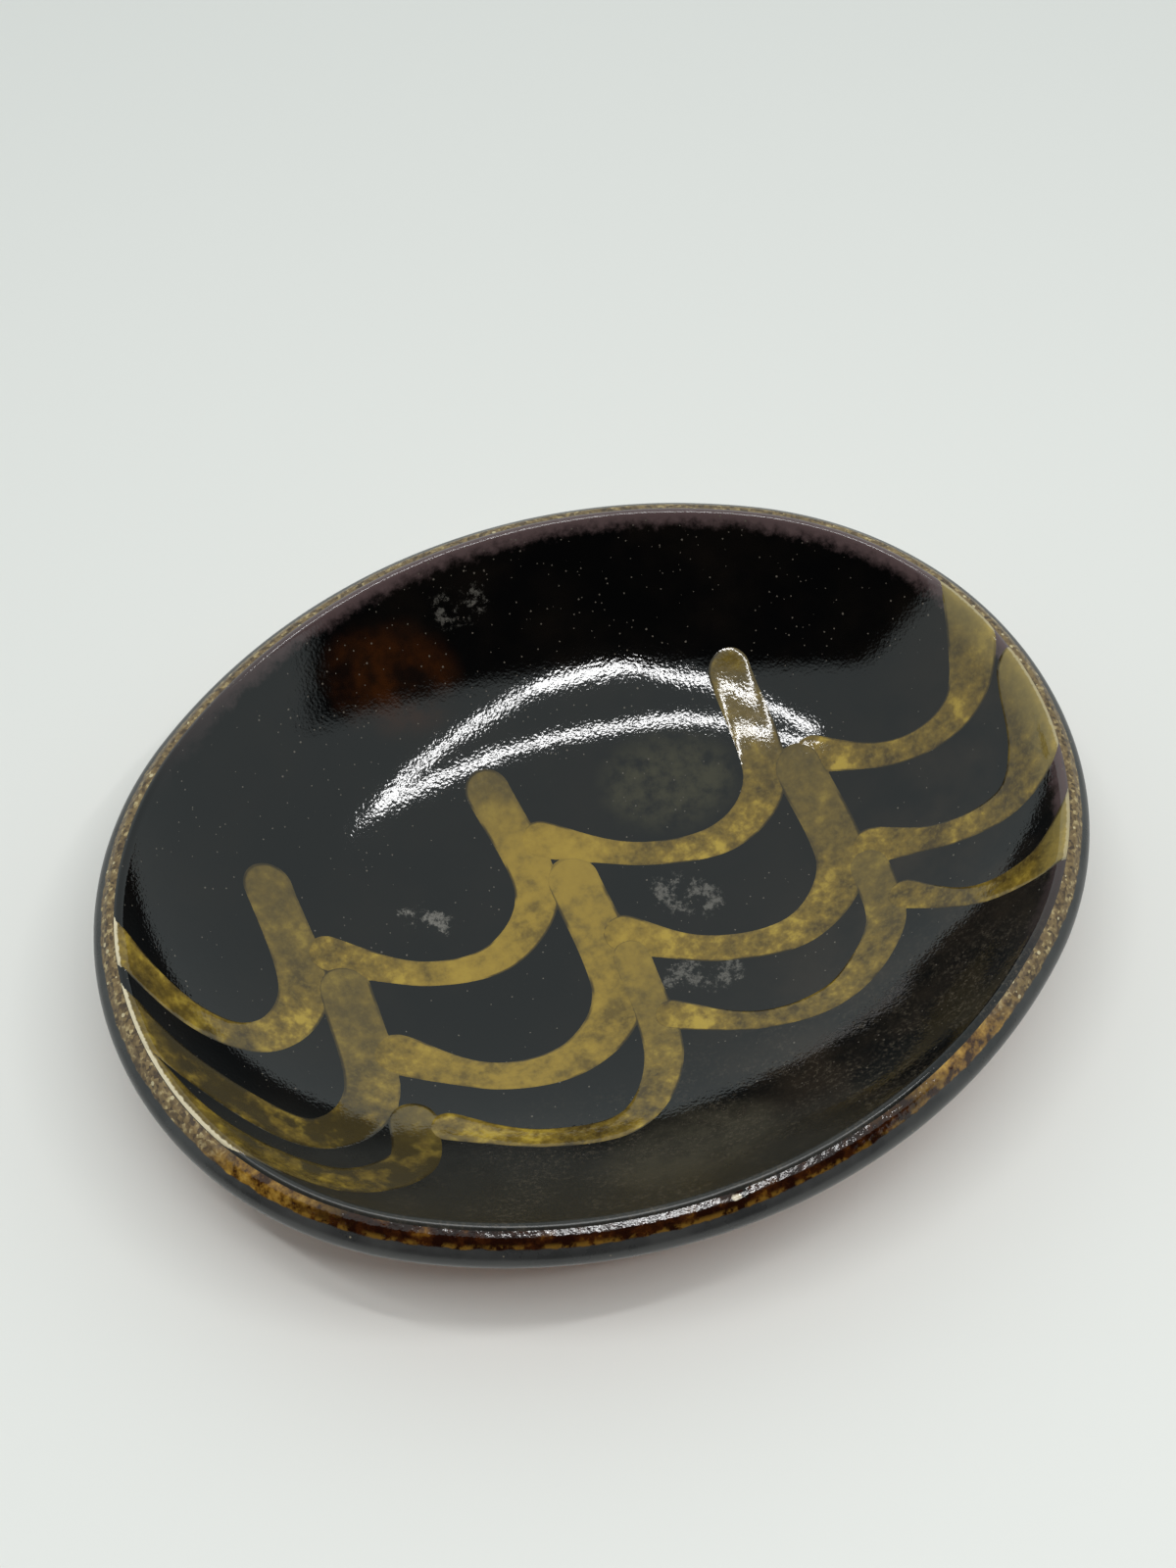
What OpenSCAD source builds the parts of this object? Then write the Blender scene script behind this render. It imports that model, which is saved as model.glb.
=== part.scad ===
// Oval slipware dish for soy sauce.
// A clay slab pressed over a mould, lined with dark slip, trailed with ochre scallops, glazed at the rim.
// X runs along the dish, Z points up, and the origin is the middle of the standing face.

/* [Dish] */
// Length over the rim
dish_length = 120; // [104:1:140]
// Width over the rim
dish_width = 98; // [88:1:102]
// How much tighter the end arcs of the oval are than half the width
end_tuck = 5; // [3:0.5:7]
// Depth of the hollow below the inner edge of the rim
hollow_depth = 20; // [16:0.5:24]
// Width in plan of the rising wall, from the flat floor to the inner edge of the rim
wall_run = 39; // [32:0.5:40]

/* [Clay] */
// Thickness of the clay slab
slab = 4; // [3:0.25:5.5]
// Depth of the paring that flattens the rounded underside
base_pare = 1; // [0.6:0.1:1.5]

/* [Rim] */
// Fall of the trimmed land towards the outside, in degrees
land_fall = 38; // [30:1:45]
// Radius of the rounded nose under the land
nose_r = 2; // [1.4:0.1:2.8]
// Share of the land's width, from its inner edge, at which the dark glaze takes over from the amber glaze
amber_share = 0.72; // [0.5:0.01:0.9]

/* [Slip and glaze] */
// Thickness of the dark slip lining
lining = 0.8; // [0.6:0.05:1.2]
// Thickness of the glaze over the rim
glaze = 0.5; // [0.3:0.05:0.8]
// Height of the glazed edge, from the inner edge of the rim down to the glaze line
edge_h = 8; // [6:0.5:12]

/* [Trailed slip] */
// Width of a trail at its root, where the slip starts to flow
trail_root_w = 5; // [4.2:0.1:5.4]
// Width of a trail at its neck, just past the root
trail_neck_w = 3.4; // [2.8:0.1:4.2]
// Width of a trail along its stem
trail_stem_w = 5.6; // [4.8:0.1:6.2]
// Depth that a trail sinks into the lining
trail_sink = 0.5; // [0.3:0.05:0.55]
// Height that a trail stands proud of the lining
trail_proud = 0.2; // [0.1:0.05:0.4]

/* [Hidden] */
$fn = 160;

// The trails, row by row from the far side, each laid over the ones before it: its name, its fullness,
// and its start, sag, turn, stem and tip in hundredths of the half-length and half-width of the hollow.
TRAILS = [
    ["a1", 1.05, [[-103, 38], [-90, 7], [-77, -2], [-65, 10], [-63, 39]]],
    ["a2", 1, [[-57, 18], [-39, 4], [-22, 1], [-9, 15], [-9, 46]]],
    ["a3", 1, [[-3, 28], [16, 12], [35, 7], [49, 18], [52, 47]]],
    ["a4", 0.95, [[60, 16], [74, 3], [86, 0], [94, 7], [101, 30]]],
    ["b1", 1.15, [[-106, 14], [-93, -13], [-77, -35], [-62, -26], [-57, 7]]],
    ["b2", 1.2, [[-53, -16], [-36, -33], [-18, -36], [-4, -22], [-1, 13]]],
    ["b3", 1.1, [[3, -8], [19, -23], [38, -29], [53, -16], [56, 15]]],
    ["b4", 1, [[60, -17], [74, -28], [86, -31], [95, -22], [101, -2]]],
    ["c1", 1, [[-104, -9], [-93, -34], [-77, -53], [-62, -52], [-57, -38]]],
    ["c2", 0.85, [[-51, -43], [-35, -57], [-17, -62], [-3, -46], [2, -15]]],
    ["c3", 0.85, [[3, -36], [19, -50], [36, -53], [52, -41], [57, -22]]],
    ["c4", 0.85, [[59, -36], [68, -49], [78, -54], [86, -53], [95, -46]]],
];

// Plan of the outer edge: two end arcs and two side arcs that meet in line.
half_l = dish_length / 2;
half_w = dish_width / 2;
end_r = half_w - end_tuck;
end_c = half_l - end_r;
side_c = (end_c * end_c - end_tuck * end_tuck) / (2 * end_tuck);
side_r = half_w + side_c;
far = 2 * half_l;
// The lines on which the arcs meet run this many times the distance between the arcs' middles.
spread = ceil(far / min(end_c, side_c));

// Section: X runs outwards from the inner edge of the rim, and Y is the height above the table.
floor_z = lining + slab - base_pare;
rim_edge = [0, floor_z + hollow_depth];
wall = lining + slab + glaze;

// The mould's wall is an arc that starts level at the floor and ends at the inner edge of the rim.
mould_r = (wall_run * wall_run + hollow_depth * hollow_depth) / (2 * hollow_depth);
mould = [-wall_run, floor_z + mould_r];

// Directions out along the falling land, and square to it.
land_dir = [cos(land_fall), -sin(land_fall)];
land_up = [sin(land_fall), cos(land_fall)];

// Middle of the nose's arc, which touches both the land and the outside of the wall.
nose_start = rim_edge - nose_r * land_up;
nose_along = (nose_start - mould) * land_dir;
nose_reach = mould_r + wall - nose_r;
nose_aside = (nose_start - mould) * land_up;
nose_slide = sqrt(pow(nose_reach, 2) - pow(nose_aside, 2)) - nose_along;
nose = nose_start + nose_slide * land_dir;
nose_out = (nose - mould) / norm(nose - mould);
// Place on the land where the amber glaze ends
amber_end = rim_edge + amber_share * nose_slide * land_dir;
// Overhang of the rim past its inner edge, to a thousandth
rim_over = round(1000 * (nose[0] + nose_r)) / 1000;

// Trails run on smooth curves through their points, with this many steps from one point to the next.
trail_steps = 5;
// Straight steps round the end of a trail
cap_steps = 6;
// Shares of a trail's length at which the root has narrowed to the neck, and the neck widens to the stem
root_end = 0.2;
neck_end = 0.25;
stem_start = 0.8;

function trail_node(trail) = str("slip_trail_", trail[0]);
function smooth(t) = let (u = min(max(t, 0), 1)) u * u * (3 - 2 * u);
function pick(list, i) = list[min(max(i, 0), len(list) - 1)];

// A point of the curve in real plan measure, at t steps past point k.
function spline(p, k, t) =
    let (a = pick(p, k - 1), b = pick(p, k), c = pick(p, k + 1), d = pick(p, k + 2))
    b + (c - a) * t / 2
        + (2 * a - 5 * b + 4 * c - d) * t * t / 2
        + (3 * b - a - 3 * c + d) * t * t * t / 2;

function trail_path(trail) =
    let (
        p = [for (q = trail[2]) [q[0] * (half_l - rim_over), q[1] * (half_w - rim_over)] / 100],
        last = len(p) - 1
    )
    [for (s = [0 : last * trail_steps])
        let (k = min(floor(s / trail_steps), last - 1))
        spline(p, k, s / trail_steps - k)];

function trail_width(trail, share) =
    trail[1] * (trail_neck_w
        + (trail_root_w - trail_neck_w) * smooth(1 - share / root_end)
        + (trail_stem_w - trail_neck_w) * smooth((share - neck_end) / (stem_start - neck_end)));

function heading(path, i) = let (v = pick(path, i + 1) - pick(path, i - 1)) atan2(v[1], v[0]);
function polar(radius, angle) = radius * [cos(angle), sin(angle)];

// A round end of a trail, half a turn clockwise about a point from a starting angle.
function cap(point, radius, angle) =
    [for (c = [1 : cap_steps - 1]) point + polar(radius, angle - 180 * c / cap_steps)];

// Outline of a trail: up its left side, round the tip, down its right side and round the start.
function trail_outline(trail) =
    let (
        path = trail_path(trail),
        last = len(path) - 1,
        half = [for (i = [0 : last]) trail_width(trail, i / last) / 2]
    )
    concat(
        [for (i = [0 : last]) path[i] + polar(half[i], heading(path, i) + 90)],
        cap(path[last], half[last], heading(path, last) + 90),
        [for (i = [last : -1 : 0]) path[i] + polar(half[i], heading(path, i) - 90)],
        cap(path[0], half[0], heading(path, 0) - 90)
    );

// Section of the mould's hollow, grown into the wall by a depth. A negative depth shrinks it.
module hollow_section(depth) {
    reach = mould_r + depth;
    translate([-far, mould[1] - reach]) square([far - wall_run, reach]);
    intersection() {
        translate(mould) circle(reach);
        translate([-wall_run, mould[1] - reach]) square(reach);
    }
}

// Section of one layer of the wall, from one depth below the visible inside to another.
module layer_section(from, to) {
    difference() {
        hollow_section(to);
        hollow_section(from);
    }
}

// All that lies below the trimmed land and inside the nose, sunk by a coat's thickness.
module trimmed(sink) {
    start = rim_edge - sink * land_up;
    corner = 2 * wall;
    difference() {
        polygon([start - far * land_dir, start + far * land_dir,
            start + far * (land_dir - 2 * land_up), start - far * (land_dir + 2 * land_up)]);
        difference() {
            polygon([nose, nose + corner * land_up,
                nose + corner * (land_up + nose_out), nose + corner * nose_out]);
            translate(nose) circle(nose_r - sink);
        }
    }
}

// The glaze round the end of the slab, over the land, the nose and the outside, down to the glaze line.
module glaze_section() {
    difference() {
        intersection() {
            layer_section(lining, wall);
            trimmed(0);
            translate([-far, rim_edge[1] - edge_h]) square(2 * far);
        }
        intersection() {
            layer_section(lining, lining + slab);
            trimmed(glaze);
        }
    }
}

// The side of the section that lies outside the end of the amber glaze.
module beyond_amber() {
    polygon([amber_end - far * land_up, amber_end + far * land_up,
        amber_end + far * (land_up + land_dir), amber_end + far * (land_dir - land_up)]);
}

// Turns a section round the middle of one arc of the plan, within that arc's own share of the plan.
module turned(middle, radius, share) {
    intersection() {
        translate(middle) rotate_extrude() intersection() {
            translate([radius - rim_over, 0]) children();
            translate([0, -far]) square(2 * far);
        }
        translate([0, 0, -far]) linear_extrude(2 * far) polygon(share);
    }
}

// Sweeps a section round the whole oval.
module swept() {
    meet = [end_c, 0] + spread * [end_c, side_c];
    for (way = [-1, 1]) {
        turned([way * end_c, 0], end_r,
            [[way * end_c, 0], [way * meet[0], -meet[1]], [way * meet[0], meet[1]]]) children();
        turned([0, -way * side_c], side_r,
            [[-end_c, 0], [end_c, 0], [meet[0], way * meet[1]], [-meet[0], way * meet[1]]]) children();
    }
}

module trail_plan(trail) {
    polygon(trail_outline(trail));
}

module clay_body() {
    color("#b26a42")
    difference() {
        swept() intersection() {
            layer_section(lining, lining + slab);
            trimmed(glaze);
        }
        translate([-far, -far, -far]) cube([2 * far, 2 * far, far]);
    }
}

module dark_lining() {
    color("#1c1c1f")
    difference() {
        swept() intersection() {
            layer_section(0, lining);
            trimmed(0);
        }
        intersection() {
            linear_extrude(far) for (trail = TRAILS) trail_plan(trail);
            swept() layer_section(-lining, trail_sink);
        }
    }
}

module rim_glaze() {
    color("#8f5f24")
    swept() difference() {
        glaze_section();
        beyond_amber();
    }
}

module edge_glaze() {
    color("#3a362f")
    swept() intersection() {
        glaze_section();
        beyond_amber();
    }
}

module slip_trail(order) {
    color("#c8a13c")
    intersection() {
        linear_extrude(far) difference() {
            trail_plan(TRAILS[order]);
            for (later = [order + 1 : 1 : len(TRAILS) - 1]) trail_plan(TRAILS[later]);
        }
        swept() intersection() {
            layer_section(-trail_proud, trail_sink);
            trimmed(0);
        }
    }
}

clay_body();
dark_lining();
rim_glaze();
edge_glaze();
for (order = [0 : len(TRAILS) - 1])
    slip_trail(order);
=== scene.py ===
"""Looks of an oval slipware dish for soy sauce, laid over its CAD frame."""

import math

import bmesh
import bpy
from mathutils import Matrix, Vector, noise
from mathutils.kdtree import KDTree


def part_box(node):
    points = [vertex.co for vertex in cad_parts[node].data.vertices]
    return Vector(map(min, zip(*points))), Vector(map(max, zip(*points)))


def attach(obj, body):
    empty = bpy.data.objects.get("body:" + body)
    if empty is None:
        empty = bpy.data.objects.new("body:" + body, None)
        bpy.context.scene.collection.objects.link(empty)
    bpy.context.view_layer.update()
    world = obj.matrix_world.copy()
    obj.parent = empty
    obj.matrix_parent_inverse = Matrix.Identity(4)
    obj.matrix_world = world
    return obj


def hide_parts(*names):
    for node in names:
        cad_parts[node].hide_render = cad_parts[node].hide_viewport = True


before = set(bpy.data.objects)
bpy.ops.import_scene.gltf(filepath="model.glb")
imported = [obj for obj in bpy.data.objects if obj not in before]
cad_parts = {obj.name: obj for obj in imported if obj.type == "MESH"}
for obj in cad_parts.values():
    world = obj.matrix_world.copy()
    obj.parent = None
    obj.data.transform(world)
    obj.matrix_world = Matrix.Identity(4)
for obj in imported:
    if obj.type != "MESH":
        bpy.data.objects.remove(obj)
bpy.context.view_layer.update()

# Sizes of the dish, in metres
MM = 0.001
HALF_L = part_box("edge_glaze")[1].x
HALF_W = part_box("edge_glaze")[1].y
END_TUCK = 5 * MM
DEPTH = 20 * MM
WALL_RUN = 39 * MM
SLAB = 4 * MM
PARE = 1 * MM
LINING = 0.8 * MM
GLAZE = 0.5 * MM
EDGE_H = 8 * MM
NOSE_R = 2 * MM
LAND_FALL = math.radians(38)

# The lining's soft inner edge and the lip of the dark coat
EDGE_SOFTNESS = 1.0 * MM
EDGE_FROM = 0.97
LIP_TURNS = (0, 0.5, 1.0, 1.5)
LIP_REACH = 0.006

# The amber glaze on the land: the share that its own piece covers, how far it runs on, and its swell
AMBER_SHARE = 0.72
AMBER_RUN = 0.86
AMBER_CREST = 0.42
AMBER_SWELL = 0.27 * MM
CREST_SOFTNESS = 0.5

# Sizes of the trailed slip
ROOT_W = 5 * MM
NECK_W = 3.4 * MM
STEM_W = 5.6 * MM
ROOT_END, NECK_END, STEM_START = 0.2, 0.25, 0.8
WAVER, WAVER_COUNT, WAVER_SEED = 0.05, 7, 3.7
TRAIL_PROUD = 0.07 * MM
TRAIL_THICK = 0.5 * MM
TRAIL_SKIRT = 1.06
TRAIL_CROWN = 7
TRAIL_BLEND = 0.3 * MM
TRAIL_SINK = 0.6
TRAIL_GAP = 0.05 * MM
RIM_LIFT, RIM_LIFT_FROM, RIM_LIFT_RUN = 0.06 * MM, 1.4 * MM, 1.0 * MM

# How far a hand-made dish strays from its mould
RIM_SWAY, SWAY_WAVES, SWAY_SEED = 0.35 * MM, 1.4, Vector((3.1, 5.2, 1.7))
RIM_DROP, DROP_WAVES, DROP_SEED = 0.35 * MM, 1.12, Vector((8.4, 2.6, 4.3))
FACE_SWELL, SWELL_SIZE = 0.05 * MM, 9 * MM

# The chip in the rim, with its place in millimetres, and the crack beside it
CHIP = (-6.6, -46.3)
CHIP_L = 0.9 * MM
CHIP_W = 0.32 * MM
CHIP_REACH = 1.3 * MM
CHIP_DEPTH = 0.3 * MM
CHIP_BELOW_RIM = 2 * MM
CHIP_LEAN = math.radians(-8)
CRACK_SHIFT = 1.05 * MM
CRACK_LEAN = math.radians(65)
NICK_ROUGH, NICK_FADE = 1.6, 1.8

# Steps of the meshes
AROUND = 400
WALL_STEPS = 44
FLOOR_RINGS = 9
SOFT_STEPS = 16
LAND_STEPS = 10
NOSE_STEPS = 14
COAT_STEPS = 8
UNDER_STEPS = 6
TRAIL_STEPS = 110
CAP_STEPS = 10
TRAIL_ROWS = 16
SLOPE_STEP = 0.05 * MM
SPUN_MERGE, TRAIL_MERGE, TRAIL_SLIVER = 0.001 * MM, 0.02 * MM, 0.01 * MM
SHARP = math.radians(40)

# The trails, in the order in which they were laid: name, fullness, and start, sag, turn, stem and tip
# in hundredths of the half-length and half-width of the hollow
TRAILS = [
    ("a1", 1.05, [(-103, 38), (-90, 7), (-77, -2), (-65, 10), (-63, 39)]),
    ("a2", 1.0, [(-57, 18), (-39, 4), (-22, 1), (-9, 15), (-9, 46)]),
    ("a3", 1.0, [(-3, 28), (16, 12), (35, 7), (49, 18), (52, 47)]),
    ("a4", 0.95, [(60, 16), (74, 3), (86, 0), (94, 7), (101, 30)]),
    ("b1", 1.15, [(-106, 14), (-93, -13), (-77, -35), (-62, -26), (-57, 7)]),
    ("b2", 1.2, [(-53, -16), (-36, -33), (-18, -36), (-4, -22), (-1, 13)]),
    ("b3", 1.1, [(3, -8), (19, -23), (38, -29), (53, -16), (56, 15)]),
    ("b4", 1.0, [(60, -17), (74, -28), (86, -31), (95, -22), (101, -2)]),
    ("c1", 1.0, [(-104, -9), (-93, -34), (-77, -53), (-62, -52), (-57, -38)]),
    ("c2", 0.85, [(-51, -43), (-35, -57), (-17, -62), (-3, -46), (2, -15)]),
    ("c3", 0.85, [(3, -36), (19, -50), (36, -53), (52, -41), (57, -22)]),
    ("c4", 0.85, [(59, -36), (68, -49), (78, -54), (86, -53), (95, -46)]),
]

# Plan of the outer edge: two end arcs and two side arcs
END_R = HALF_W - END_TUCK
END_C = HALF_L - END_R
SIDE_C = (END_C ** 2 - END_TUCK ** 2) / (2 * END_TUCK)
SIDE_R = HALF_W + SIDE_C

# Section: x runs outwards from the inner edge of the rim, z up from the table
FLOOR_Z = LINING + SLAB - PARE
RIM_Z = FLOOR_Z + DEPTH
MOULD_R = (WALL_RUN ** 2 + DEPTH ** 2) / (2 * DEPTH)
MOULD = Vector((-WALL_RUN, FLOOR_Z + MOULD_R))
RUN_LIMIT = 0.95 * MOULD_R
RIM_ANGLE = math.asin(WALL_RUN / MOULD_R)
LAND_DIR = Vector((math.cos(LAND_FALL), -math.sin(LAND_FALL)))
LAND_UP = Vector((math.sin(LAND_FALL), math.cos(LAND_FALL)))
WALL = LINING + SLAB + GLAZE
NOSE_FOOT = Vector((0, RIM_Z)) - NOSE_R * LAND_UP
LAND_W = (math.sqrt((MOULD_R + WALL - NOSE_R) ** 2 - (NOSE_FOOT - MOULD).dot(LAND_UP) ** 2)
          - (NOSE_FOOT - MOULD).dot(LAND_DIR))
NOSE = NOSE_FOOT + LAND_W * LAND_DIR
NOSE_TOP = math.pi - LAND_FALL
NOSE_END = math.atan2(NOSE.x - MOULD.x, MOULD.y - NOSE.y)
OVER = NOSE.x + NOSE_R
AXIS_X = OVER - HALF_L

# The view: across and away are level directions seen from the camera
TURN = math.radians(-26.25)
ACROSS = Vector((math.cos(TURN), math.sin(TURN), 0))
AWAY = Vector((-math.sin(TURN), math.cos(TURN), 0))
UP = Vector((0, 0, 1))

# Sides of the dish where the amber glaze pooled and where shade is painted on the ochre slip
POOL_SIDE = Vector((-0.26, -0.966, 0))
SHADED_SIDE = Vector((-0.75, -0.66, 0))

# Marks on the hollow: two places in plan and a width, in millimetres, and the strength of a frost mark
FILM_MARK = (11, 14.5), (22, 11.5), 4.5
# The warm mark is a painted reflection: an orange-brown reflection painted on the far wall of the hollow
PAINTED_REFLECTION_MARK = (-16.0, 38.4), (-6.0, 34.2), 4.6
SILT_MARK = (-13.5, -36.0), (1.5, -36.5), 5.0
THICK_MARK = (-20, -15), (-1, 11), 11
FROST_MARKS = [
    ((-21.8, 10.8), (-16.8, 6.5), 1.3, 1.0),
    ((8.5, 0.3), (14, -4.6), 2.6, 0.75),
    ((3.5, -11.5), (12, -14.6), 1.7, 0.7),
    ((-2, 41), (3.5, 40.6), 2.6, 0.6),
]

# The skin of the glaze over the slip: fine peel and slow waves, with their depths
PEEL_SIZE, PEEL_DEPTH = 0.40 * MM, 0.0105 * MM
WAVE_SIZE, WAVE_DEPTH = 2.6 * MM, 0.016 * MM

# Pits in the black slip: spacing in millimetres, rarity, and the widest in parts of the spacing
PITS = [(1.3, 0.56, 0.10), (0.75, 0.60, 0.13)]

# Colours of the black slip and of the chip
BLACK = (0.0009, 0.0009, 0.0010)
BROWN = (0.0185, 0.0126, 0.0080)
FILM = (0.034, 0.030, 0.015)
# Colour of the painted reflection on the far wall
PAINTED_REFLECTION = (0.028, 0.0080, 0.0018)
THIN = (0.088, 0.058, 0.058)
PIT = (0.105, 0.090, 0.074)
FROST = (0.120, 0.110, 0.096)
DULL = (0.0155, 0.0146, 0.0122)
SILT = (0.036, 0.031, 0.021)
DUST = (0.070, 0.056, 0.040)
CRACK = (0.010, 0.009, 0.008)
PALE_BODY = (0.46, 0.39, 0.28)

# Colours of the ochre slip
OCHRE_TONES = [(0.39, (0.053, 0.033, 0.007)), (0.47, (0.108, 0.069, 0.011)),
               (0.54, (0.168, 0.107, 0.015)), (0.64, (0.36, 0.245, 0.033))]
OCHRE_FLECK = (0.28, 0.195, 0.040)
OCHRE_STEM = (0.092, 0.066, 0.021)
OCHRE_THICK = (0.29, 0.188, 0.024)
# Colour of the painted shade on the trails of the near-left wall
OCHRE_PAINTED_SHADE = (0.038, 0.027, 0.009)
OCHRE_RIM = (0.44, 0.34, 0.12)
OCHRE_LINE = (0.012, 0.008, 0.003)
OCHRE_CUT = (0.58, 0.50, 0.34)

# Colours of the rim's glazes
SANDY_TONES = [(0.32, (0.042, 0.023, 0.008)), (0.48, (0.125, 0.078, 0.029)),
               (0.62, (0.185, 0.124, 0.048)), (0.74, (0.40, 0.31, 0.15))]
SAND_GRAIN = (0.52, 0.44, 0.26)
HONEY_TONES = [(0.40, (0.034, 0.011, 0.002)), (0.51, (0.185, 0.092, 0.013)),
               (0.67, (0.38, 0.22, 0.040))]
TREACLE_TONES = [(0.46, (0.0110, 0.0026, 0.0010)), (0.59, (0.034, 0.009, 0.002)),
                 (0.74, (0.17, 0.075, 0.009))]
TREACLE_EDGE = (0.165, 0.085, 0.013)
DARK_TONES = [(0.3, (0.018, 0.018, 0.018)), (0.7, (0.038, 0.037, 0.036))]
DARK_SPECK = (0.20, 0.17, 0.12)

# Colours of the bare clay
CLAY_TONES = [(0.3, (0.32, 0.105, 0.040)), (0.55, (0.44, 0.160, 0.066)), (0.75, (0.52, 0.215, 0.095))]
CLAY_GRIT = (0.20, 0.070, 0.032)
CLAY_RUBBED = (0.60, 0.30, 0.165)

# Studio: floor, walls with a dark opening, overhead strip lamps in millimetres, and camera
FLOOR_REACH = 1.5
FLOOR_COLOUR = (0.694, 0.684, 0.658)
WALL_COLOUR = (0.89, 1.0, 1.0)
OPENING_COLOUR = (0.020, 0.019, 0.018)
OPENING_SIDES = [(0, -2.1, -1), (-1, -1.4, 0.72), (1, -1.85, 0)]
OPENING_BLUR = 0.04
WALL_LIGHT = 0.79
LAMP_H = 600 * MM
LAMP_GLOW = 32.0
FAR_STRIP, FAR_WIDTHS = [(340, 0), (26, -78), (-235, 4)], [18, 18]
FRONT_STRIP, FRONT_WIDTHS = [(340, 0), (206, -202), (95, -250), (-240, -36)], [18, 34, 20]
LENS, SENSOR = 54, 36
CAMERA_RISE = math.radians(58)
CAMERA_TARGET = Vector((2.81, 8.49, 20.3)) * MM
CAMERA_REACH = 280.5 * MM


def smooth(t):
    t = min(max(t, 0), 1)
    return t * t * (3 - 2 * t)


# Plan and section of the pressed dish

def plan_point(turn, out):
    """Point at a distance outside the outer edge, where that edge faces a direction."""
    facing = Vector((math.cos(turn), math.sin(turn)))
    if abs(facing.y) * END_C < abs(facing.x) * SIDE_C:
        return Vector((math.copysign(END_C, facing.x), 0)) + (END_R + out) * facing
    return Vector((0, -math.copysign(SIDE_C, facing.y))) + (SIDE_R + out) * facing


def plan_place(x, y):
    """Direction that the edge faces next to a point in plan, and the point's distance outside the edge."""
    if (abs(x) - END_C) * SIDE_C > abs(y) * END_C:
        dx, dy, radius = x - math.copysign(END_C, x), y, END_R
    else:
        dx, dy, radius = x, y + math.copysign(SIDE_C, y), SIDE_R
    return math.atan2(dy, dx), math.hypot(dx, dy) - radius


def hollow_z(x):
    """Height of the visible inside of the dish, over its softened edge and on to the land."""
    run = min(max(x + WALL_RUN, 0), RUN_LIMIT)
    wall = FLOOR_Z + MOULD_R - math.sqrt(MOULD_R ** 2 - run ** 2)
    land = RIM_Z - x * math.tan(LAND_FALL)
    ease = max(EDGE_SOFTNESS - abs(wall - land), 0) / EDGE_SOFTNESS
    return min(wall, land) - ease * ease * EDGE_SOFTNESS / 4


def pressed(point):
    """Moves a point of the true shape to where the maker's hands left it."""
    x, y, z = point
    turn = math.atan2(y / HALF_W, x / HALF_L)
    height = (z / RIM_Z) ** 2
    facing = Vector((math.cos(turn), math.sin(turn), 0))
    sway = 0.5 + 0.5 * noise.noise(facing * SWAY_WAVES + SWAY_SEED)
    drop = 0.5 + 0.5 * noise.noise(facing * DROP_WAVES + DROP_SEED)
    shrink = 1 - height * RIM_SWAY * sway / HALF_L
    sunk = height * RIM_DROP * drop
    if z > RIM_Z - CHIP_BELOW_RIM:
        sunk += CHIP_DEPTH * smooth(1 - math.hypot(x - CHIP[0] * MM, y - CHIP[1] * MM) / CHIP_REACH)
    if z > 0:
        swell = 0.5 + 0.5 * noise.noise(Vector((x, y, 0)) / SWELL_SIZE)
        sunk += FACE_SWELL * swell * min(z / FLOOR_Z, 1)
    return Vector((x * shrink, y * shrink, z - sunk))


# Meshes

def finish_mesh(bm, name, material):
    """Turns a finished bmesh into a shaded piece that rides with the dish."""
    bmesh.ops.recalc_face_normals(bm, faces=bm.faces[:])
    if bm.calc_volume(signed=True) < 0:
        bmesh.ops.reverse_faces(bm, faces=bm.faces[:])
    for face in bm.faces:
        face.smooth = True
    for edge in bm.edges:
        edge.smooth = edge.calc_face_angle(0) < SHARP
    mesh = bpy.data.meshes.new(name)
    bm.to_mesh(mesh)
    bm.free()
    mesh.materials.append(material)
    piece = bpy.data.objects.new(name, mesh)
    bpy.context.scene.collection.objects.link(piece)
    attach(piece, "root")
    return piece


def spun(section, closed):
    """Spins a section and lays it on the oval plan. On the flat floor its rings shrink evenly."""
    bm = bmesh.new()
    verts = [bm.verts.new((x - AXIS_X, 0, z)) for x, z in section]
    edges = [bm.edges.new(pair) for pair in zip(verts, verts[1:])]
    if closed:
        edges.append(bm.edges.new((verts[-1], verts[0])))
    bmesh.ops.spin(bm, geom=verts + edges, cent=(0, 0, 0), axis=(0, 0, 1), angle=math.tau, steps=AROUND,
                   use_merge=True)
    bmesh.ops.remove_doubles(bm, verts=bm.verts[:], dist=SPUN_MERGE)
    floor_r = -WALL_RUN - AXIS_X
    along = {}
    for vert in bm.verts:
        radius = math.hypot(vert.co.x, vert.co.y)
        turn = math.atan2(vert.co.y, vert.co.x)
        along[vert] = (Vector((radius + AXIS_X, vert.co.z - RIM_Z)).dot(LAND_DIR) / MM, 0)
        flat = plan_point(turn, max(radius, floor_r) - HALF_L) * min(radius / floor_r, 1)
        vert.co = pressed((flat.x, flat.y, vert.co.z))
    layer = bm.loops.layers.uv.new("land")
    for face in bm.faces:
        for loop in face.loops:
            loop[layer].uv = along[loop.vert]
    return bm


def arc(middle, radius, start, stop, steps):
    """Points of an arc of the section, at angles from straight down towards the outside."""
    angles = [start + (stop - start) * i / steps for i in range(steps + 1)]
    return [(middle.x + radius * math.sin(a), middle.y - radius * math.cos(a)) for a in angles]


def land_point(along, depth=0):
    """Point at a distance along the land and a depth below it."""
    point = Vector((0, RIM_Z)) + along * LAND_DIR - depth * LAND_UP
    return point.x, point.y


def wall_meets_land(depth, sink):
    """Angle at which a layer of the wall reaches the land, sunk by a coat's thickness."""
    radius = MOULD_R + depth
    start = Vector((0, RIM_Z)) - sink * LAND_UP - MOULD
    along = math.sqrt(radius ** 2 - start.dot(LAND_UP) ** 2) - start.dot(LAND_DIR)
    end = start + along * LAND_DIR
    return math.atan2(end.x, -end.y)


def lining_end():
    """Point where the back of the lining reaches the land."""
    return arc(MOULD, MOULD_R + LINING, 0, wall_meets_land(LINING, 0), 1)[1]


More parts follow.
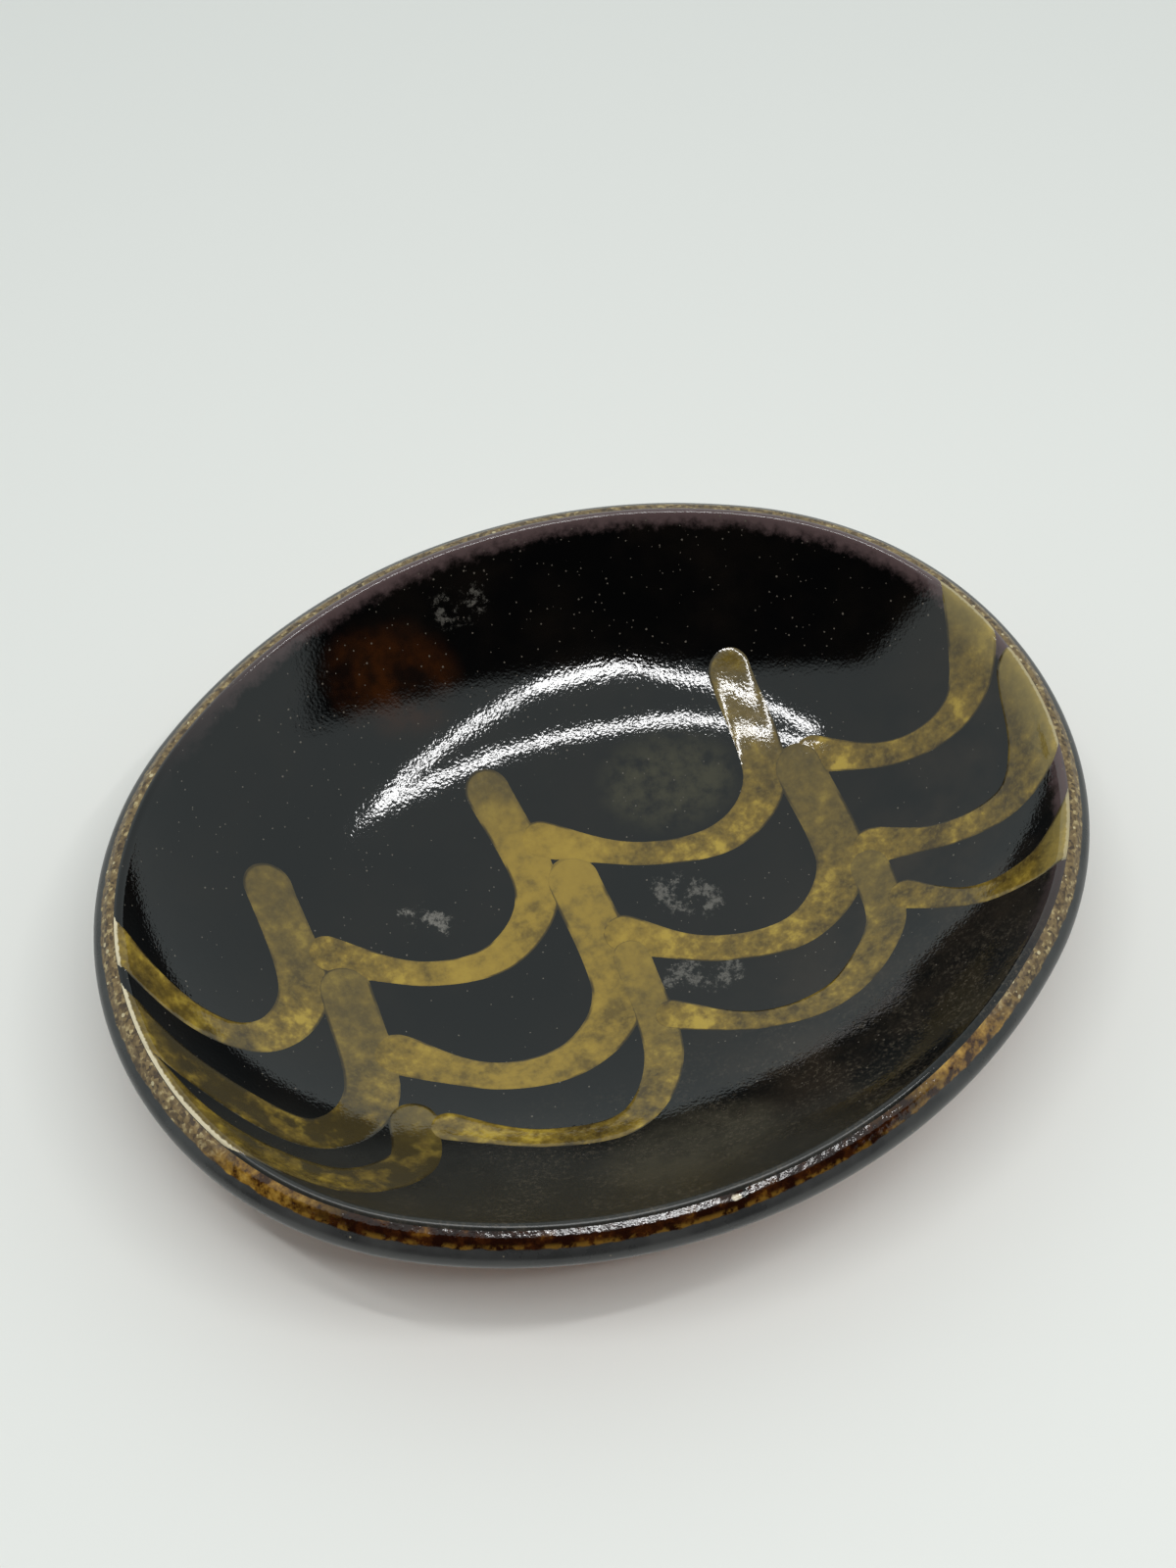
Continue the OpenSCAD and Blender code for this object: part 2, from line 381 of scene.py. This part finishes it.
def land_start():
    """Distance along the land at which the lining ends and the rim's coats begin."""
    return (Vector(lining_end()) - Vector((0, RIM_Z))).dot(LAND_DIR)


def glaze_line(radius):
    """Angle at which the dark coat ends, on a layer of a radius."""
    return math.acos((MOULD.y - RIM_Z + EDGE_H) / radius)


def lining_section():
    """The lining, over the flat floor, up the wall and round its soft edge, and back below."""
    floor = [(AXIS_X + (-WALL_RUN - AXIS_X) * i / FLOOR_RINGS, FLOOR_Z) for i in range(FLOOR_RINGS)]
    wall = arc(MOULD, MOULD_R, 0, RIM_ANGLE * EDGE_FROM, WALL_STEPS)
    first, last = wall[-1][0], lining_end()[0]
    edge = [first + (last - first) * i / SOFT_STEPS for i in range(1, SOFT_STEPS + 1)]
    edge = [(x, hollow_z(x)) for x in edge]
    back = arc(MOULD, MOULD_R + LINING, wall_meets_land(LINING, 0), 0, WALL_STEPS // 2)[1:]
    return floor + wall + edge + back + [(AXIS_X, FLOOR_Z - LINING)]


def bead(along):
    """Point on the thick amber coat at a distance along the land. It rises to a soft crest."""
    start, end = land_start(), AMBER_RUN * LAND_W
    share = min(max((along - start) / (end - start), 0), 1)
    up, down = share / AMBER_CREST, (1 - share) / (1 - AMBER_CREST)
    ease = max(CREST_SOFTNESS - abs(up - down), 0)
    return land_point(along, -AMBER_SWELL * (min(up, down) - ease * ease / (4 * CREST_SOFTNESS)))


def rim_section():
    """The amber coat, level below and swollen above."""
    start, end = land_start(), AMBER_SHARE * LAND_W
    top = [bead(start + (end - start) * i / SOFT_STEPS) for i in range(SOFT_STEPS + 1)]
    return top + [land_point(end, GLAZE), land_point(start, GLAZE)]


def edge_section():
    """The dark coat over the nose and down the outside, ending in a soft lip at the glaze line."""
    start = AMBER_SHARE * LAND_W
    land = [bead(start + (LAND_W - start) * i / LAND_STEPS) for i in range(LAND_STEPS)]
    nose = arc(NOSE, NOSE_R, NOSE_TOP, NOSE_END, NOSE_STEPS)
    line = glaze_line(MOULD_R + WALL)
    outside = arc(MOULD, MOULD_R + WALL, NOSE_END, line, COAT_STEPS)[1:-1]
    lip = [arc(MOULD, MOULD_R + WALL - GLAZE * (1 - math.cos(a)), line,
               line + LIP_REACH * math.sin(a), 1)[1] for a in LIP_TURNS]
    inside = arc(MOULD, MOULD_R + LINING + SLAB, line, NOSE_END, COAT_STEPS)
    inner_nose = arc(NOSE, NOSE_R - GLAZE, NOSE_END, NOSE_TOP, COAT_STEPS)
    return land + nose + outside + lip + inside + inner_nose[1:] + [land_point(start, GLAZE)]


def clay_section():
    """The slab, pared flat below, with the rim's coats left off."""
    outer = MOULD_R + LINING + SLAB
    base = math.acos(MOULD.y / outer)
    line = glaze_line(outer)
    floor_end = MOULD.x + outer * math.sin(base)
    floor = [(AXIS_X + (floor_end - AXIS_X) * i / FLOOR_RINGS, 0) for i in range(FLOOR_RINGS)]
    outside = arc(MOULD, outer, base, line, WALL_STEPS)
    under_coat = arc(MOULD, outer, line, NOSE_END, UNDER_STEPS)[1:]
    nose = arc(NOSE, NOSE_R - GLAZE, NOSE_END, NOSE_TOP, UNDER_STEPS)[1:]
    inside = arc(MOULD, MOULD_R + LINING, wall_meets_land(LINING, GLAZE), 0, WALL_STEPS // 2)
    return floor + outside + under_coat + nose + inside + [(AXIS_X, FLOOR_Z - LINING)]


def trail_route(points, share):
    """Point on the smooth curve through a trail's points, and its heading, at a share of its length."""
    scale = Vector((-AXIS_X, HALF_W - OVER)) / 100
    p = [Vector((u * scale.x, v * scale.y)) for u, v in points]
    p = [p[0]] + p + [p[-1]]
    k = min(int(share * (len(points) - 1)), len(points) - 2)
    t = share * (len(points) - 1) - k
    a, b, c, d = p[k:k + 4]
    speed, bend, twist = c - a, 2 * a - 5 * b + 4 * c - d, 3 * b - a - 3 * c + d
    middle = b + speed * t / 2 + bend * t ** 2 / 2 + twist * t ** 3 / 2
    heading = speed / 2 + bend * t + twist * 1.5 * t ** 2
    return middle, heading.normalized()


def trail_half(order, share):
    """Half the width of a trail at a share of its length: a full root, a neck, and a fuller stem."""
    width = (NECK_W + (ROOT_W - NECK_W) * smooth(1 - share / ROOT_END)
             + (STEM_W - NECK_W) * smooth((share - NECK_END) / (STEM_START - NECK_END)))
    waver = 1 + WAVER * noise.noise(Vector((share * WAVER_COUNT, order * WAVER_SEED, 0.5)))
    return TRAILS[order][1] * width * waver / 2


def trail_reach(order):
    """The middle line of a trail, ready for searching, and its half width at each of the line's points."""
    line = KDTree(TRAIL_STEPS + 1)
    halves = []
    for i in range(TRAIL_STEPS + 1):
        line.insert((*trail_route(TRAILS[order][2], i / TRAIL_STEPS)[0], 0), i)
        halves.append(trail_half(order, i / TRAIL_STEPS))
    line.balance()
    return line, halves


def covered(spot, later):
    """How far a place lies under the trails that were laid later: 0 outside them, 1 well inside."""
    deepest = 0
    for line, halves in later:
        _, i, distance = line.find((*spot, 0))
        deepest = max(deepest, smooth(0.5 + (halves[i] - distance) / TRAIL_BLEND))
    return deepest


def slip_trail(order, later, material):
    """One trail: a strip with round ends on the hollow, sunk at its edges and under later trails."""
    name, _, points = TRAILS[order]
    bm = bmesh.new()
    columns = TRAIL_STEPS + 2 * CAP_STEPS
    bmesh.ops.create_grid(bm, x_segments=columns, y_segments=TRAIL_ROWS, size=1)
    trail_layer = bm.loops.layers.uv.new("trail")
    rim_layer = bm.loops.layers.uv.new("rim")
    limit = land_point(land_start())[0] - TRAIL_GAP
    spots, trimmed = {}, set()
    for vert in bm.verts:
        column = round((vert.co.x + 1) / 2 * columns)
        across = vert.co.y
        share = min(max((column - CAP_STEPS) / TRAIL_STEPS, 0), 1)
        middle, heading = trail_route(points, share)
        skirt = trail_half(order, share) * TRAIL_SKIRT
        past = max(CAP_STEPS - column, column - CAP_STEPS - TRAIL_STEPS, 0) / CAP_STEPS * math.pi / 2
        way = -1 if column < CAP_STEPS else 1
        spot = middle + heading * way * skirt * math.sin(past)
        spot += Vector((-heading.y, heading.x)) * across * skirt * math.cos(past)
        turn, out = plan_place(spot.x, spot.y)
        if out + OVER > limit:
            spot = plan_point(turn, limit - OVER)
            trimmed.add(vert)
        rim_x = plan_place(spot.x, spot.y)[1] + OVER
        slope = (hollow_z(rim_x + SLOPE_STEP) - hollow_z(rim_x - SLOPE_STEP)) / (2 * SLOPE_STEP)
        edge = TRAIL_SKIRT * math.hypot(math.sin(past), across * math.cos(past))
        lift = RIM_LIFT * smooth((rim_x + RIM_LIFT_FROM) / RIM_LIFT_RUN)
        rise = (lift + TRAIL_PROUD * (1 - TRAIL_SINK * covered(spot, later))) * (1 - edge ** TRAIL_CROWN)
        spots[vert] = (share, edge, rim_x)
        vert.co = pressed((spot.x, spot.y, hollow_z(rim_x) + rise * math.sqrt(1 + slope ** 2)))
    for face in bm.faces:
        for loop in face.loops:
            share, edge, rim_x = spots[loop.vert]
            loop[trail_layer].uv = (share, edge)
            loop[rim_layer].uv = (rim_x / MM, 0)
    past_rim = [face for face in bm.faces if trimmed.issuperset(face.verts)]
    bmesh.ops.delete(bm, geom=past_rim, context="FACES")
    bmesh.ops.remove_doubles(bm, verts=bm.verts[:], dist=TRAIL_MERGE)
    bmesh.ops.dissolve_degenerate(bm, edges=bm.edges[:], dist=TRAIL_SLIVER)
    under = bmesh.ops.extrude_face_region(bm, geom=bm.faces[:], use_keep_orig=True)["geom"]
    under = [item for item in under if isinstance(item, bmesh.types.BMVert)]
    bmesh.ops.translate(bm, verts=under, vec=(0, 0, -TRAIL_THICK))
    return finish_mesh(bm, "trail_" + name, material)


# Materials

class Nodes:
    """Short ways to lay nodes in a tree that reads one kind of coordinates."""

    def __init__(self, tree, coordinates):
        self.tree = tree
        self.place = self.node("ShaderNodeTexCoord").outputs[coordinates]

    def node(self, kind, **settings):
        made = self.tree.nodes.new(kind)
        for key, value in settings.items():
            setattr(made, key, value)
        return made

    def feed(self, socket, value):
        if isinstance(value, bpy.types.NodeSocket):
            self.tree.links.new(value, socket)
        elif isinstance(value, tuple) and len(value) == 3 and socket.type == "RGBA":
            socket.default_value = (*value, 1)
        else:
            socket.default_value = value

    def math(self, operation, one, other=0.0):
        made = self.node("ShaderNodeMath", operation=operation)
        self.feed(made.inputs[0], one)
        self.feed(made.inputs[1], other)
        return made.outputs[0]

    def times(self, one, other):
        return self.math("MULTIPLY", one, other)

    def plus(self, one, other):
        return self.math("ADD", one, other)

    def vector(self, operation, one, other):
        made = self.node("ShaderNodeVectorMath", operation=operation)
        self.feed(made.inputs[0], one)
        made.inputs[1].default_value = other
        return made

    def band(self, value, low, high, to_low=0.0, to_high=1.0):
        """Smooth step of a value between two limits."""
        made = self.node("ShaderNodeMapRange", interpolation_type="SMOOTHSTEP")
        self.feed(made.inputs["Value"], value)
        for key, number in (("From Min", low), ("From Max", high), ("To Min", to_low), ("To Max", to_high)):
            self.feed(made.inputs[key], number)
        return made.outputs["Result"]

    def mix(self, share, one, other):
        made = self.node("ShaderNodeMix", data_type="RGBA")
        self.feed(made.inputs["Factor"], share)
        self.feed(made.inputs[6], one)
        self.feed(made.inputs[7], other)
        return made.outputs[2]

    def along(self, direction):
        """How far a point lies along a direction."""
        return self.vector("DOT_PRODUCT", self.place, direction).outputs["Value"]


class Finish(Nodes):
    """A procedural material on object coordinates."""

    def __init__(self, name):
        self.material = bpy.data.materials.new(name)
        self.material.use_nodes = True
        super().__init__(self.material.node_tree, "Object")
        self.shader = self.tree.nodes["Principled BSDF"]

    def grain(self, size, detail=2.0, rough=0.5, shift=0.0):
        """Cloudy pattern whose features are about a size across."""
        place = self.place
        if shift:
            place = self.vector("ADD", place, (shift, shift, shift)).outputs[0]
        made = self.node("ShaderNodeTexNoise")
        self.feed(made.inputs["Vector"], place)
        made.inputs["Scale"].default_value = 1 / size
        made.inputs["Detail"].default_value = detail
        made.inputs["Roughness"].default_value = rough
        return made.outputs["Fac"]

    def cells(self, size):
        """Distance to the nearest of many scattered points, and a random number of that point."""
        made = self.node("ShaderNodeTexVoronoi")
        self.feed(made.inputs["Vector"], self.place)
        made.inputs["Scale"].default_value = 1 / size
        return made.outputs["Distance"], self.split(made.outputs["Color"])[0]

    def specks(self, size, rarity, widest, more=None):
        """Round specks at a spacing. Few are near the widest, which is given in parts of the spacing."""
        distance, chance = self.cells(size)
        if more is not None:
            chance = self.plus(chance, more)
        return self.math("LESS_THAN", distance, self.band(chance, rarity, 1.0, 0.0, widest))

    def ramp(self, value, tones):
        made = self.node("ShaderNodeValToRGB")
        self.feed(made.inputs["Fac"], value)
        marks = made.color_ramp.elements
        while len(marks) < len(tones):
            marks.new(0.5)
        for mark, (at, colour) in zip(marks, tones):
            mark.position = at
            mark.color = (*colour, 1)
        return made.outputs["Color"]

    def split(self, vector=None):
        made = self.node("ShaderNodeSeparateXYZ")
        self.feed(made.inputs[0], vector or self.place)
        return made.outputs

    def laid(self, name):
        """The measures that a piece carries in a map of its own."""
        return self.split(self.node("ShaderNodeUVMap", uv_map=name).outputs[0])

    def away(self, middle, flat=False):
        """Distance from a point, or from a point of the plan."""
        place = self.place
        if flat:
            place = self.vector("MULTIPLY", place, (1, 1, 0)).outputs[0]
        return self.vector("DISTANCE", place, middle).outputs["Value"]

    def uneven(self, height, strength, distance, normal=None):
        made = self.node("ShaderNodeBump")
        made.inputs["Strength"].default_value = strength
        made.inputs["Distance"].default_value = distance
        self.feed(made.inputs["Height"], height)
        if normal:
            self.feed(made.inputs["Normal"], normal)
        return made.outputs["Normal"]

    def set(self, **sockets):
        for key, value in sockets.items():
            self.feed(self.shader.inputs[key.replace("_", " ")], value)
        return self.material


def glossy_skin(finish):
    """The fine orange-peel skin that the glaze over the slip has all over the hollow."""
    peel = finish.uneven(finish.grain(PEEL_SIZE, 1.5), 1.0, PEEL_DEPTH)
    return finish.uneven(finish.grain(WAVE_SIZE, 1.0), 1.0, WAVE_DEPTH, peel)


def on_hollow(x, y):
    """Place on the hollow's surface above a point of the plan in millimetres."""
    return x * MM, y * MM, hollow_z(plan_place(x * MM, y * MM)[1] + OVER)


def stain(finish, one, two, width):
    """A long mark on the hollow between two places: 1 along its middle, 0 a width away from it."""
    reach = finish.plus(finish.away(on_hollow(*one)), finish.away(on_hollow(*two)))
    length = (Vector(on_hollow(*one)) - Vector(on_hollow(*two))).length
    return finish.band(reach, length, length + 2 * width * MM, 1.0, 0.0)


def nick(finish, shift, lean):
    """A short break in the near side of the rim, moved along the rim and leaning across it."""
    x, y = CHIP[0] * MM + shift, CHIP[1] * MM
    dx, dy = math.cos(lean) * CHIP_L / 2, math.sin(lean) * CHIP_L / 2
    one, two = (x - dx, y - dy, 0), (x + dx, y + dy, 0)
    reach = finish.plus(finish.away(one, flat=True), finish.away(two, flat=True))
    rough = finish.times(finish.grain(0.5 * MM, 3), NICK_ROUGH * CHIP_W)
    return finish.band(finish.plus(reach, rough), CHIP_L + CHIP_W, CHIP_L + NICK_FADE * CHIP_W, 1.0, 0.0)


def chip(finish, base):
    """The nick where the pale body shows, with a dark crack beside it."""
    base = finish.mix(nick(finish, CRACK_SHIFT, CRACK_LEAN), base, CRACK)
    return finish.mix(nick(finish, 0, CHIP_LEAN), base, PALE_BODY)


def frost(finish):
    """Rub marks: grit that shows where a mark and its patches lie."""
    grit = finish.grain(0.8 * MM, 6, 0.8, shift=0.91)
    patchy = finish.band(finish.grain(2.8 * MM, 3, 0.6, shift=0.29), 0.40, 0.60, 0.12, 0.30)
    flakes = None
    for one, two, width, full in FROST_MARKS:
        mark = finish.times(stain(finish, one, two, width), patchy)
        mark = finish.band(finish.plus(grit, mark), 0.69, 0.86, 0.0, full)
        flakes = mark if flakes is None else finish.math("MAXIMUM", flakes, mark)
    return flakes


def dust(finish):
    """Fine brown dust in patches on the near and right walls."""
    fine = finish.band(finish.grain(0.55 * MM, 6, 0.75, shift=0.67), 0.48, 0.68)
    patches = finish.band(finish.grain(6 * MM, 3, 0.6, shift=0.19), 0.38, 0.60, 0.15, 1.0)
    side = finish.band(finish.along(0.5 * ACROSS - AWAY), 18 * MM, 42 * MM, 0.0, 0.8)
    return finish.times(finish.times(fine, patches), side)


def black_slip():
    """Black slip under clear glaze: brown to the right, dull on the near wall, thin below the far rim, with
    a painted reflection on the far wall.
    """
    finish = Finish("black_slip")
    haze = finish.grain(15 * MM, 4, 0.6)
    brown_side = finish.band(finish.along(ACROSS - 0.55 * AWAY), 12 * MM, 46 * MM)
    brown = finish.times(finish.band(haze, 0.38, 0.72), finish.band(brown_side, 0, 1, 0.18, 1.0))
    base = finish.mix(brown, BLACK, BROWN)
    cloudy = finish.band(finish.grain(2.4 * MM, 4, 0.6, shift=0.53), 0.30, 0.66)
    soft = finish.band(cloudy, 0, 1, 0.55, 1.0)
    base = finish.mix(finish.times(stain(finish, *FILM_MARK), cloudy), base, FILM)
    # Painted reflection: a warm orange-brown reflection painted on the far wall, in cloudy patches
    patches = finish.band(finish.grain(6 * MM, 3, 0.6, shift=0.83), 0.36, 0.62, 0.15, 1.0)
    painted_reflection = finish.times(finish.times(stain(finish, *PAINTED_REFLECTION_MARK), soft), patches)
    base = finish.mix(painted_reflection, base, PAINTED_REFLECTION)
    thin_side = finish.band(finish.along(0.25 * ACROSS + AWAY), -10 * MM, 30 * MM)
    ragged = finish.times(finish.grain(1.5 * MM, 5, 0.7, shift=0.31), 3.0 * MM)
    thin = finish.band(finish.plus(finish.split()[2], ragged), RIM_Z - 0.8 * MM, RIM_Z + 0.8 * MM)
    base = finish.mix(finish.times(thin, thin_side), base, THIN)
    far_wall = finish.band(finish.along(AWAY - 0.3 * ACROSS), 12 * MM, 36 * MM, 0.0, 0.16)
    for size, rarity, widest in PITS:
        base = finish.mix(finish.specks(size * MM, rarity, widest, far_wall), base, PIT)
    flakes = frost(finish)
    base = finish.mix(flakes, base, FROST)
    near_wall = finish.band(finish.along(-AWAY), 27 * MM, 40 * MM)
    dull = finish.times(near_wall, finish.band(haze, 0.25, 0.6, 0.6, 1.0))
    base = finish.mix(dull, base, DULL)
    base = finish.mix(finish.times(stain(finish, *SILT_MARK), soft), base, SILT)
    base = finish.mix(dust(finish), base, DUST)
    rough = finish.plus(finish.times(flakes, 0.35), finish.band(dull, 0, 1, 0.045, 0.34))
    return finish.set(Base_Color=chip(finish, base), Roughness=rough, Normal=glossy_skin(finish))


def ochre_slip():
    """Mottled ochre slip: dull stems, thick in the middle, painted shade on the near-left wall, pale where
    the rim cuts it.
    """
    finish = Finish("ochre_slip")
    share, edge, _ = finish.laid("trail")
    rim = finish.laid("rim")[0]
    right = finish.along(ACROSS)
    cloud = finish.plus(finish.times(finish.grain(7 * MM, 3, 0.55), 0.5),
                        finish.times(finish.grain(1.7 * MM, 3, 0.6, shift=0.77), 0.5))
    base = finish.ramp(cloud, OCHRE_TONES)
    fleck = finish.grain(0.5 * MM, 3)
    base = finish.mix(finish.band(fleck, 0.45, 0.72, 0.0, 0.25), base, OCHRE_FLECK)
    base = finish.mix(finish.band(share, 0.60, 0.95, 0.0, 0.6), base, OCHRE_STEM)
    thick = finish.times(stain(finish, *THICK_MARK), finish.band(cloud, 0.36, 0.56, 0.3, 0.8))
    base = finish.mix(thick, base, OCHRE_THICK)
    # Painted shade: the trails darken on the near-left wall, less so close to the rim
    patches = finish.band(finish.grain(3.2 * MM, 3, 0.5, shift=0.47), 0.47, 0.66, 1.0, 0.12)
    shade = finish.times(finish.band(finish.along(SHADED_SIDE), 33 * MM, 39.5 * MM), patches)
    shade = finish.times(shade, finish.band(rim, -2.5, -0.6, 0.95, 0.35))
    base = finish.mix(shade, base, OCHRE_PAINTED_SHADE)
    pale = finish.plus(rim, finish.times(fleck, 0.4))
    lighter = finish.times(finish.band(pale, -3.0, 0.1), finish.band(right, 0.0, 20 * MM, 0.0, 0.32))
    base = finish.mix(lighter, base, OCHRE_RIM)
    broken = finish.band(finish.grain(6 * MM, 1, shift=0.13), 0.44, 0.58, 0.10, 0.85)
    base = finish.mix(finish.times(finish.band(edge, 0.845, 0.945), broken), base, OCHRE_LINE)
    cut_end = finish.times(finish.band(pale, 0.28, 0.48), finish.band(right, -10 * MM, 20 * MM, 1.0, 0.35))
    base = finish.mix(cut_end, base, OCHRE_CUT)
    rough = finish.band(fleck, 0.2, 0.8, 0.04, 0.09)
    return finish.set(Base_Color=base, Roughness=rough, Normal=glossy_skin(finish))


def amber_coat(finish):
    """Colour and roughness of the amber glaze: sandy where thin, then honey, and treacle where it pooled."""
    along = finish.laid("land")[0]
    near = finish.plus(finish.along(POOL_SIDE / HALF_W), finish.times(finish.grain(6 * MM, 2), 0.14))
    honeyed, pooled = finish.band(near, 0.62, 0.76), finish.band(near, 0.80, 0.91)
    coarse = finish.plus(finish.times(finish.cells(0.42 * MM)[1], 0.35),
                         finish.times(finish.grain(0.9 * MM, 4, 0.65), 0.65))
    sandy = finish.ramp(coarse, SANDY_TONES)
    sandy = finish.mix(finish.times(finish.specks(1.15 * MM, 0.45, 0.24), 0.8), sandy, SAND_GRAIN)
    streaky = finish.grain(1.7 * MM, 4, 0.65)
    honey = finish.ramp(streaky, HONEY_TONES)
    treacle = finish.ramp(finish.grain(2.4 * MM, 4, 0.65), TREACLE_TONES)
    thin_edge = finish.times(finish.band(along, 2.1, 2.7), finish.band(streaky, 0.44, 0.58, 0.0, 0.8))
    treacle = finish.mix(thin_edge, treacle, TREACLE_EDGE)
    base = finish.mix(pooled, finish.mix(honeyed, sandy, honey), treacle)
    rough = finish.plus(finish.band(honeyed, 0, 1, 0.45, 0.12), finish.band(pooled, 0, 1, 0.0, -0.05))
    return base, rough


def amber_glaze():
    finish = Finish("amber_glaze")
    base, rough = amber_coat(finish)
    return finish.set(Base_Color=chip(finish, base), Roughness=rough,
                      Normal=finish.uneven(finish.grain(0.7 * MM, 3), 1.0, 0.06 * MM))


def dark_glaze():
    """Satin dark glaze, with the amber glaze run over its inner edge."""
    finish = Finish("dark_glaze")
    amber, amber_rough = amber_coat(finish)
    cloud = finish.grain(5 * MM, 4, 0.6)
    base = finish.ramp(cloud, DARK_TONES)
    base = finish.mix(finish.specks(1.5 * MM, 0.7, 0.10), base, DARK_SPECK)
    ragged = finish.plus(finish.laid("land")[0], finish.times(finish.grain(1.6 * MM, 3), 0.7))
    run_end = AMBER_RUN * LAND_W / MM
    run = finish.band(ragged, run_end + 0.25, run_end + 0.45, 1.0, 0.0)
    bare = finish.math("SUBTRACT", 1.0, run)
    rough = finish.plus(finish.times(run, amber_rough),
                        finish.times(bare, finish.band(cloud, 0.25, 0.75, 0.24, 0.34)))
    return finish.set(Base_Color=finish.mix(run, base, amber), Roughness=rough,
                      Normal=finish.uneven(finish.grain(1.1 * MM, 3), 1.0, 0.02 * MM))


def bare_clay():
    """Bare fired clay with grit, pressed by hand and rubbed on the standing face."""
    finish = Finish("bare_clay")
    base = finish.ramp(finish.grain(7 * MM, 5, 0.6), CLAY_TONES)
    base = finish.mix(finish.specks(0.9 * MM, 0.6, 0.22), base, CLAY_GRIT)
    fine = finish.grain(0.4 * MM, 4, 0.7)
    height = finish.plus(finish.split()[2], finish.times(fine, 0.2 * MM))
    base = finish.mix(finish.band(height, 0.12 * MM, 0.4 * MM, 0.35, 0.0), base, CLAY_RUBBED)
    pressing = finish.uneven(finish.grain(4.5 * MM, 2), 1.0, 0.12 * MM)
    return finish.set(Base_Color=base, Roughness=finish.band(fine, 0.2, 0.8, 0.68, 0.88),
                      Normal=finish.uneven(fine, 0.4, 0.12 * MM, pressing))


# Pieces

lining = finish_mesh(spun(lining_section(), False), "lining", black_slip())
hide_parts("dark_lining")

rim = finish_mesh(spun(rim_section(), True), "rim_coat", amber_glaze())
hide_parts("rim_glaze")

edge = finish_mesh(spun(edge_section(), True), "edge_coat", dark_glaze())
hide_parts("edge_glaze")

clay = finish_mesh(spun(clay_section(), False), "clay", bare_clay())
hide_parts("clay_body")

ochre = ochre_slip()
reaches = [trail_reach(order) for order in range(len(TRAILS))]
for order, (name, *_) in enumerate(TRAILS):
    trail = slip_trail(order, reaches[order + 1:], ochre)
    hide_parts("slip_trail_" + name)


# Studio: floor, surroundings, lamps and camera

def studio_floor():
    bm = bmesh.new()
    bmesh.ops.create_grid(bm, x_segments=1, y_segments=1, size=FLOOR_REACH)
    mesh = bpy.data.meshes.new("floor")
    bm.to_mesh(mesh)
    bm.free()
    finish = Finish("pale_floor")
    mesh.materials.append(finish.set(Base_Color=FLOOR_COLOUR, Roughness=0.6, Specular_IOR_Level=0.2))
    floor = bpy.data.objects.new("floor", mesh)
    bpy.context.scene.collection.objects.link(floor)


def view_vector(across, away, up):
    return ACROSS * across + AWAY * away + UP * up


def surroundings():
    """White studio walls with a dark opening on the side of the camera."""
    world = bpy.data.worlds.new("studio")
    bpy.context.scene.world = world
    world.use_nodes = True
    nodes = Nodes(world.node_tree, "Generated")
    opening = None
    for side in OPENING_SIDES:
        facing = nodes.along(view_vector(*side).normalized())
        inside = nodes.band(facing, -OPENING_BLUR, OPENING_BLUR)
        opening = inside if opening is None else nodes.times(opening, inside)
    background = world.node_tree.nodes["Background"]
    nodes.feed(background.inputs["Color"], nodes.mix(opening, WALL_COLOUR, OPENING_COLOUR))
    background.inputs["Strength"].default_value = WALL_LIGHT


def strip_lamps(name, places, widths):
    """Narrow lamps overhead in a chain through places across and away from the middle of the dish."""
    ends = [view_vector(across * MM, away * MM, LAMP_H) for across, away in places]
    for one, two, width in zip(ends, ends[1:], widths):
        light = bpy.data.lights.new(name, "AREA")
        light.shape = "RECTANGLE"
        light.size = (two - one).length
        light.size_y = width * MM
        light.energy = LAMP_GLOW * math.pi * light.size * light.size_y
        lamp = bpy.data.objects.new(name, light)
        lamp.location = (one + two) / 2
        lamp.rotation_euler = (0, 0, math.atan2(two.y - one.y, two.x - one.x))
        bpy.context.scene.collection.objects.link(lamp)


def camera():
    data = bpy.data.cameras.new("camera")
    data.lens = LENS
    data.sensor_width = SENSOR
    seen = bpy.data.objects.new("camera", data)
    back = view_vector(0, -math.cos(CAMERA_RISE), math.sin(CAMERA_RISE))
    seen.location = CAMERA_TARGET + CAMERA_REACH * back
    seen.rotation_euler = back.to_track_quat("Z", "Y").to_euler()
    bpy.context.scene.collection.objects.link(seen)
    bpy.context.scene.camera = seen


studio_floor()
surroundings()
strip_lamps("far_strip", FAR_STRIP, FAR_WIDTHS)
strip_lamps("front_strip", FRONT_STRIP, FRONT_WIDTHS)
camera()
bpy.context.scene.view_settings.view_transform = "Standard"
